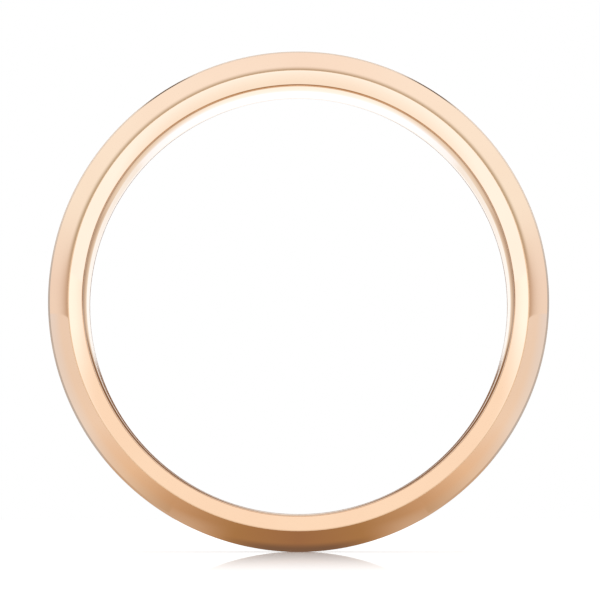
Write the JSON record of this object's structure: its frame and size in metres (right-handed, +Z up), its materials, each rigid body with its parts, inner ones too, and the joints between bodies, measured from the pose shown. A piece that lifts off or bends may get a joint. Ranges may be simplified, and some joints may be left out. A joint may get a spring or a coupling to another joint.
{
  "type": "wedding band",
  "caption": "Plain rose gold wedding band: a sleeve with rounded lips and an eased bore carries bevelled edge rims with a slightly raised, crowned centre band between them.",
  "frame": {"origin": "middle of the finger bore, on its axis and half way along the band's width", "axes": "+Y along the finger axis towards the rear of the band, +Z up as the band stands on its edge, +X to the right seen from the front"},
  "size_m": [0.0222, 0.006, 0.0222],
  "materials": {
    "sleeve_gold": "mirror-polished 14 ct rose gold with fine turning lines in the bore",
    "rim_gold": "mirror-polished 14 ct rose gold",
    "centre_gold": "satin 14 ct rose gold with fine brushed lines round the crown and bright shoulders"
  },
  "bodies": {
    "root": {"inner_sleeve": "sleeve_gold", "front_rim": "rim_gold", "centre_band": "centre_gold", "rear_rim": "rim_gold"}
  },
  "joints": []
}
